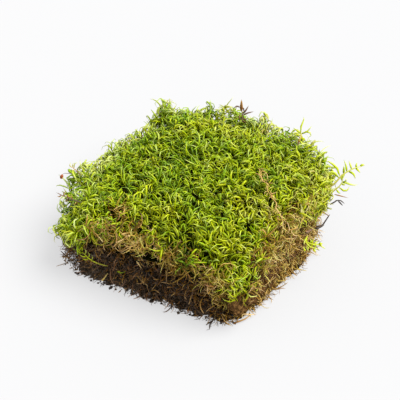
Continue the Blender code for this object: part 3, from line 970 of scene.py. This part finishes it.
# Each row of a sprig: name, CAD node that it stands for, slot, foot on the slab, half widths of stem and
# leaf, tints at both ends of the stems and of the leaves, shades at both ends, lines of the stems, lines of
# the leaves.
GREEN_SPRIGS = (
    ("right_sprig_leaves", ["right_sprig"], "living_moss", (56, 37.5, 38.6), (0.46, 0.62), GREEN, LIT,
     [((-5.3, -4.2), (-3.3, -2.8), (-1.7, -1.1), (0.1, 1.1), (1.6, 2.3), (4.9, 4.3), (7.5, 5.3),
       (11.1, 6.1))],
     [((1.3, 2.4), (1.5, 4.6), (1.3, 6.3)), ((2.9, 3.3), (2.7, 5.9), (1.6, 9.3)),
      ((5.3, 4.5), (4.6, 6.9), (3.9, 8.8)), ((7.5, 5.3), (7.6, 6.6), (8.0, 7.8)),
      ((-0.6, 1.0), (-1.5, 4.5), (-3.8, 6.9), (-5.8, 8.3), (-7.5, 8.2)),
      ((-1.0, 0.6), (-3.2, 2.7), (-5.2, 3.1), (-7.3, 2.5)), ((3.7, 3.4), (5.5, 2.7), (6.7, 1.3), (6.9, -0.6)),
      ((7.3, 5.1), (8.4, 4.0), (9.4, 2.5)), ((1.8, 2.4), (1.1, 0.9), (0.9, -0.9)),
      ((-0.9, 0.2), (-2.1, 1.4), (-3.8, 0.4)), ((9.4, 5.7), (10.6, 6.6), (11.8, 6.4))]),
    ("right_sprig_lower_leaves", ["right_sprig_lower"], "living_moss", (55.5, 35.5, 33.5), (0.36, 0.56),
     GREEN, LIT,
     [((-2.6, -2.0), (-0.8, -0.4), (1.0, 1.0), (2.2, 2.6), (2.7, 4.2))],
     [((2.3, 3.0), (5.0, 2.6), (7.6, 1.6), (10.8, 2.0)), ((0.8, 0.6), (3.4, -1.2), (5.4, -0.6), (6.1, 1.2)),
      ((2.4, 3.0), (4.2, 3.7), (3.9, 5.1)), ((-0.6, -0.4), (0.9, -2.1), (1.9, -2.3)),
      ((2.0, 2.4), (3.3, 1.8), (3.8, 2.7)), ((2.5, 3.6), (2.0, 5.2), (3.0, 6.2))]),
    ("side_sprig_leaves", ["side_sprig"], "living_moss", (55.5, 1.5, 24), (0.4, 0.56), FRESH, (0.75, 0.92),
     [((-1.9, 1.8), (0.5, -0.1), (2.9, -0.8), (5.3, -0.9), (7.0, -1.8), (9.0, -3.1)),
      ((-1.0, 0.8), (1.0, -1.6), (3.3, -2.5), (6.2, -3.3))],
     [((6.1, 0.2), (6.5, -0.9), (6.8, -1.9)), ((-0.1, 2.5), (-1.2, 0.9), (-1.7, -1.3)),
      ((-0.7, -4.1), (-1.6, -2.8), (-1.5, -1.4)), ((2.3, 0.9), (1.0, -0.5), (-0.1, -1.9), (-0.9, -3.6)),
      ((2.4, -0.6), (2.6, 0.8), (3.3, 1.8)), ((4.3, -0.9), (4.0, -2.0), (4.8, -3.3)),
      ((1.0, -0.4), (1.8, 0.8), (1.4, 2.1)), ((5.2, -0.9), (6.7, -0.4), (7.6, -0.7)),
      ((1.0, -1.6), (0.2, -3.0), (1.0, -4.2)), ((3.3, -2.5), (3.5, -3.8), (4.6, -4.1)),
      ((0.0, 0.4), (-0.4, 2.2), (0.8, 3.4)), ((3.4, -0.8), (4.4, 0.2), (5.6, 0.4)),
      ((2.0, -2.0), (2.6, -0.9), (3.8, -1.2))]),
    ("rear_green_sprig_leaves", ["rear_green_sprig"], "living_moss", (26.6, 52.5, 47), (0.36, 0.52),
     (0.1, 0.5, 0.66, 0.6), LIT,
     [((-1.4, -6.8), (-0.7, -4.5), (0.1, -2.5), (0.4, -0.2))],
     [((0.1, -1.0), (0.4, 3.4), (1.8, 6.1), (1.5, 7.9)), ((0.2, -0.5), (-1.6, 0.6), (-3.8, 2.2)),
      ((0.4, -0.8), (3.4, 0.3), (5.6, 3.1)), ((0.3, -1.2), (3.3, 0.2), (5.5, -1.2), (3.9, -3.2)),
      ((-0.5, -4.2), (1.1, -5.9), (4.1, -5.5)), ((0.1, -2.0), (-2.0, -1.3), (-3.3, -2.5)),
      ((-0.2, -3.3), (1.8, -3.3), (2.8, -4.9))]))
DEAD_SPRIGS = (
    ("rear_dead_sprig_leaves", ["rear_dead_sprig"], "dead_shoot", (-9.5, 56.5, 44.5), (0.36, 0.58),
     (0.1, 0.15, 0.14, 0.2), (0.6, 0.75),
     [((0.6, -4.9), (0.6, -2.5), (0.7, -0.6), (0.1, 2.0))],
     [((-0.6, 2.8), (-2.4, 3.4), (-4.5, 1.7)), ((0.1, 2.5), (1.3, 2.2), (1.5, 0.2)),
      ((0.8, -0.5), (2.4, 1.1), (4.0, 3.7)), ((0.7, -1.4), (3.6, -0.1), (6.8, 0.7)),
      ((0.6, -3.0), (2.1, -3.5), (3.6, -3.1)), ((-0.3, -3.7), (-1.0, -2.4), (-0.5, -0.5)),
      ((0.6, -4.2), (2.1, -5.1), (2.8, -4.4))]),
    ("rear_dead_sprig_bud", [], "dead_shoot", (-9.5, 56.5, 44.5), (0.3, 0.62), (0.2, 0.25, 0.24, 0.3), DULL,
     [], [((0.1, 0.6), (-0.2, 3.5), (0.3, 7.4)), ((0.3, 0.6), (0.5, 3.5), (0.35, 6.9))]),
    ("left_dead_shoot_leaves", ["left_dead_shoot"], "dead_shoot", (-56.5, -37.6, 35.6), (0.38, 0.36),
     (0.12, 0.2, 0.2, 0.3), DULL,
     [((9.4, -3.5), (5.4, -2.3), (2.0, -1.0), (-1.3, 0.3), (-4.1, 1.7))],
     [((4.1, -1.7), (3.1, -0.3), (3.8, 0.6)), ((2.0, -0.9), (0.9, -2.4), (-0.6, -2.3)),
      ((0.0, -0.3), (-0.4, 1.3), (0.7, 2.2)), ((-1.5, 0.4), (-2.5, -0.4), (-3.4, -0.1)),
      ((6.5, -2.6), (5.3, -3.9), (3.7, -3.7)), ((2.8, -1.2), (1.4, -0.3), (0.9, 1.1))]),
    ("fallen_shoot_leaves", ["fallen_shoot"], "dead_moss", (-32, -50.2, 13.5), (0.32, 0.36),
     (0.42, 0.62, 0.66, 0.6), (0.75, 0.9),
     [((6.2, -2.1), (3.1, -1.4), (-0.1, -0.2), (-3.4, 1.9), (-6.6, 5.4))],
     [((-4.0, 2.5), (-5.7, 2.4), (-7.2, 3.6)), ((-4.8, 3.4), (-4.1, 5.1), (-5.0, 6.3)),
      ((-5.7, 4.3), (-7.4, 4.2), (-8.2, 5.3)), ((-2.8, 1.4), (-4.6, 0.9), (-6.0, 1.5)),
      ((-3.3, 1.8), (-2.5, 3.4), (-3.3, 4.7)), ((-1.6, 0.7), (-1.0, 2.0), (-1.6, 3.2)),
      ((-6.2, 4.9), (-5.9, 6.6), (-6.9, 7.3))]))
STALK = (
    "seta_stalk", ["seta"], "stalk", SPORE_CASE_FOOT, (0.19, 0.4), (0.19, 0.17, 0.2, 0.2), (0.6, 0.7),
    [((5.3, 0.1), (4.0, 0.6), (1.8, 0.2), (0.2, -0.7), (-1.5, -0.4), (-3.0, -0.5), (-3.7, -1.1))], [])
PINK_SHOOT = (
    "pink_shoot_tip", [], "living_moss", (-60.5, -17, 38), (0.24, 0.34), (0.24, 0.36, 0.42, 0.55), PALE,
    [((-0.5, -3.9), (-2.5, -1.9), (-4.0, -0.7), (-5.0, 0.1))],
    [((-4.7, -0.2), (-6.1, 0.8), (-5.4, 2.5)), ((-4.5, -0.4), (-4.7, 1.1), (-4.2, 2.3)),
     ((-4.0, -0.7), (-3.6, 1.6), (-2.0, 2.3)), ((-3.2, -1.4), (-4.6, -1.6), (-5.4, -0.8))])
BARK_TWIGS = (
    ("claw_twig_bark", ["claw_twig"], "bark", (56, 31.5, 28), (0.36, 0.3), BARK, (0.45, 0.55),
     [((-2.0, -1.3), (0.2, -0.2), (1.3, 0.6), (3.4, 0.6), (5.4, -1.1)),
      ((2.2, 0.3), (3.2, -0.7), (4.3, -1.9))], []),
    ("bark_stick_bark", ["bark_stick"], "bark", (54.3, 29.3, 18), (0.42, 0.3), BARK, (0.45, 0.6),
     [((-2.3, -3.2), (-0.8, -0.9), (1.3, 2.3))], []))
PALE_BITS = (
    ("straw_needle_leaf", ["straw_needle"], "straw", (-27, -50, 5), (0.36, 0.3), (0.36, 0.38, 0.1, 0.1),
     (0.75, 0.9), [((-1.5, -1.6), (0.0, 0.2), (1.4, 2.3))], []),
    ("brown_leaf_tip", [], "dead_shoot", (55.5, 33.5, 30.5), (0.3, 0.4), (0.2, 0.2, 0.3, 0.24), (0.8, 0.9),
     [], [((-0.5, 0.5), (1.6, 0.0), (3.7, -0.6), (6.6, -1.4))]),
    ("pale_fragment", [], "straw", (-7.7, -48.8, 20.6), (0.3, 0.45), (0.2, 0.2, 0.38, 0.4), (0.9, 1.0),
     [], [((-1.1, 2.6), (0.5, 0.4), (1.7, -1.8))]))

# Each row of a lying shoot: name, CAD node, slot, half widths of stem and leaf, tints, shades, number and
# length of its leaves, lines of places on the slab.
LYING_SHOOTS = (
    ("top_dead_shoot", [], "dead_shoot", (0.22, 0.3), (0.29, 0.33), (0.75, 0.92), 26, 3.4,
     [((21.5, 15.1, 47.0), (25.2, 11.6, 47.4), (27.4, 6.9, 47.6), (31.9, 4.8, 48.0), (34.4, -0.4, 47.4),
       (37.2, -0.6, 47.2)),
      ((24.2, 13.6, 47.6), (27.6, 12.0, 48.0), (30.2, 8.2, 47.8)),
      ((22.4, 10.2, 47.2), (25.6, 9.4, 47.8), (28.6, 5.6, 47.8))]),
    ("top_dead_shoot_end", [], "dead_shoot", (0.26, 0.26), (0.27, 0.34), PALE, 12, 2.6,
     [((36.2, 0.2, 47.4), (37.4, -2.6, 47.2), (41.4, -4.4, 46.4), (42.6, -8.4, 45.8), (46.9, -9.4, 44.4),
       (48.6, -13.4, 42.4), (49.8, -14.2, 41.0))]),
    ("front_curl", [], "dead_shoot", (0.42, 0), (0.22, 0.3), PALE, 0, 0,
     [((39.5, -42.6, 0.6), (41.6, -40.6, 1.2), (44.0, -37.4, 1.8), (44.8, -34.6, 2.5))]),
    ("front_loop", [], "dead_shoot", (0.26, 0), (0.3, 0.36), PALE, 0, 0,
     [((38.6, -42.6, 0.6), (39.6, -41.0, 3.0), (41.8, -38.8, 4.5), (44.8, -36.0, 3.5), (46.8, -32.6, 1.0))]),
    ("red_leaf", [], "dead_shoot", (0.6, 0.45), (0.17, 0.2), (0.8, 0.9), 3, 2.2,
     [((53.2, 4.6, 27.0), (54.0, 7.4, 26.4), (53.6, 10.6, 25.2), (53.0, 14.0, 23.0))]),
    ("green_bit", [], "living_moss", (0.18, 0.26), (0.66, 0.72), (0.7, 0.9), 3, 2.0,
     [((-20.2, -49.0, 11.6), (-18.0, -49.6, 12.2), (-16.0, -49.2, 13.0))]))
LYING_BARK = (
    ("bark_flake", [], "bark", (0.75, 0), (0.04, 0.1), (0.5, 0.6), 0, 0,
     [((52.6, 18.6, 18.5), (53.6, 21.4, 18.2), (53.8, 24.8, 16.8), (53.2, 27.6, 15.4))]),
    ("root", ["root_strand"], "root", (0.4, 0.14), (0.04, 0.09), (0.5, 0.6), 6, 2.2,
     [((31.6, -44.6, 3.4), (31.0, -47.0, 1.6), (30.6, -48.4, 0.8), (32.0, -51.4, 0.5)),
      ((31.0, -46.6, 1.6), (29.6, -48.2, 0.9), (29.2, -49.6, 0.5))]))


class MOSS_OT_sprigs(bpy.types.Operator):
    """The four living shoots that stand clear of the cushion"""
    bl_idname = "moss.sprigs"
    bl_label = "Standing sprigs"

    def execute(self, context):
        rng = np.random.default_rng(41)
        for row in GREEN_SPRIGS:
            sprig(rng, *row)
        return {"FINISHED"}


class MOSS_OT_dead_shoots(bpy.types.Operator):
    """The single dead shoots: at the back edge, at the left corner, across the top and on the front face"""
    bl_idname = "moss.dead_shoots"
    bl_label = "Single dead shoots"

    def execute(self, context):
        rng = np.random.default_rng(43)
        for row in DEAD_SPRIGS:
            sprig(rng, *row)
        for row in LYING_SHOOTS:
            lying_shoot(rng, *row)
        return {"FINISHED"}


class MOSS_OT_spore_case(bpy.types.Operator):
    """The spore case at the left, on its thin stalk, and the young shoot beside it"""
    bl_idname = "moss.spore_case"
    bl_label = "Spore case"

    def execute(self, context):
        rng = np.random.default_rng(47)
        sprig(rng, *STALK)
        fresh_start()
        bpy.ops.mesh.primitive_uv_sphere_add(segments=20, ring_count=14, radius=1)
        case = context.object
        case.name = "capsule_case"
        m = Maker("spore case")
        where = m.node("ShaderNodeTexCoord")["Object"]
        colour = m.mix(m.noise(where, 1.2 * MM).between(0.35, 0.65), tone(92, 34, 6), tone(150, 72, 18))
        case.data.materials.append(m.finish(m.node("ShaderNodeBsdfPrincipled", None, {
            "Base Color": colour, "Roughness": 0.45, "Specular IOR Level": 0.25})["BSDF"]))
        points = np.array([v.co[:] for v in case.data.vertices])
        height = points[:, 2]
        foot, half = at(SPORE_CASE_FOOT)[0], 0.85 * MM
        top, end = (foot + (a * ACROSS + b * RISING) * MM for a, b in ((-3.7, -0.9), (-4.5, -3.2)))
        along = (top - end) / 2
        side = unit(np.cross(along, BACK))
        other = unit(np.cross(along, side))
        neck = 1 - 0.42 * np.clip(height, 0, 1) ** 2 + 0.05 * np.cos(9 * height)
        round_it = half * neck[:, None] * (points[:, :1] * side + points[:, 1:2] * other)
        placed = (top + end) / 2 + height[:, None] * along + round_it
        case.data.vertices.foreach_set("co", placed.astype(np.float32).ravel())
        case.data.update()
        fresh_start()
        case.select_set(True)
        context.view_layer.objects.active = case
        bpy.ops.object.mode_set(mode="EDIT")
        bpy.ops.mesh.select_all(action="SELECT")
        bpy.ops.mesh.normals_make_consistent(inside=False)
        bpy.ops.object.mode_set(mode="OBJECT")
        bpy.ops.object.shade_smooth()
        settle(case, ["capsule"])
        sprig(rng, *PINK_SHOOT)
        return {"FINISHED"}


class MOSS_OT_twigs(bpy.types.Operator):
    """The forked twig, the straight stick, the needle in the humus and the root that lies on the table"""
    bl_idname = "moss.twigs"
    bl_label = "Twigs, needle and root"

    def execute(self, context):
        rng = np.random.default_rng(53)
        for row in BARK_TWIGS:
            sprig(rng, *row)
        for row in LYING_BARK:
            lying_shoot(rng, *row)
        for row in PALE_BITS:
            sprig(rng, *row)
        return {"FINISHED"}


# ---------------------------------------------------------------- stage and panel

LOOKED_AT = (0, 0, 20)    # place on the slab that the camera faces
CAMERA_AWAY = 0.4722


class MOSS_OT_stage(bpy.types.Operator):
    """The pale floor, the soft studio light and the camera"""
    bl_idname = "moss.stage"
    bl_label = "Stage"

    def execute(self, context):
        fresh_start()
        bpy.ops.mesh.primitive_plane_add(size=6, location=(0, 0, -0.05 * MM))
        floor = context.object
        floor.name = "floor"
        m = Maker("pale floor")
        lit = m.node("ShaderNodeBsdfDiffuse", None, {"Color": (0.165, 0.165, 0.165)})["BSDF"]
        glow = m.node("ShaderNodeEmission", None, {"Color": (0.97, 0.97, 0.98), "Strength": 0.61})["Emission"]
        both = m.node("ShaderNodeAddShader", None, {"0": lit, "1": glow})["Shader"]
        floor.data.materials.append(m.finish(both))

        world = bpy.data.worlds.new("soft white room")
        world.use_nodes = True
        room = world.node_tree.nodes["Background"].inputs
        room["Color"].default_value, room["Strength"].default_value = (1, 1, 1, 1), 0.9
        context.scene.world = world

        bpy.ops.object.light_add(type="SUN", rotation=(math.radians(35), 0, math.radians(112)))
        key = context.object
        key.name = "window light"
        key.data.energy, key.data.angle = 5.4, math.radians(45)

        bpy.ops.object.camera_add()
        camera = context.object
        camera.name = "camera"
        back = Vector(BACK)
        camera.location = Vector(at(LOOKED_AT)[0]) + back * CAMERA_AWAY
        camera.rotation_euler = (-back).to_track_quat("-Z", "Y").to_euler()
        camera.data.lens, camera.data.sensor_width = 85, 36
        camera.data.shift_x, camera.data.shift_y = -0.01, 0.035
        camera.data.clip_start = 0.01
        context.scene.camera = camera
        context.scene.view_settings.view_transform = "Standard"
        return {"FINISHED"}


class MOSS_PT_panel(bpy.types.Panel):
    """The moss clump's sizes, colours and steps"""
    bl_idname = "MOSS_PT_panel"
    bl_label = "Moss clump"
    bl_space_type = "VIEW_3D"
    bl_region_type = "UI"
    bl_category = "Moss"

    def draw(self, context):
        for name in MossSettings.__annotations__:
            self.layout.prop(context.scene.moss, name)
        for step in STEPS:
            self.layout.operator(step.bl_idname)


STEPS = (MOSS_OT_humus, MOSS_OT_dead_layer, MOSS_OT_cushion, MOSS_OT_sprigs, MOSS_OT_dead_shoots,
         MOSS_OT_spore_case, MOSS_OT_twigs, MOSS_OT_stage)
CLASSES = (MossSettings, *STEPS, MOSS_PT_panel)


def register():
    for cls in CLASSES:
        bpy.utils.register_class(cls)
    bpy.types.Scene.moss = PointerProperty(type=MossSettings)


def unregister():
    del bpy.types.Scene.moss
    for cls in reversed(CLASSES):
        bpy.utils.unregister_class(cls)


def main():
    """Builds the slab and its stage."""
    register()
    bpy.ops.moss.humus()
    bpy.ops.moss.dead_layer()
    bpy.ops.moss.cushion()
    bpy.ops.moss.sprigs()
    bpy.ops.moss.dead_shoots()
    bpy.ops.moss.spore_case()
    bpy.ops.moss.twigs()
    bpy.ops.moss.stage()


if __name__ == "__main__":
    main()
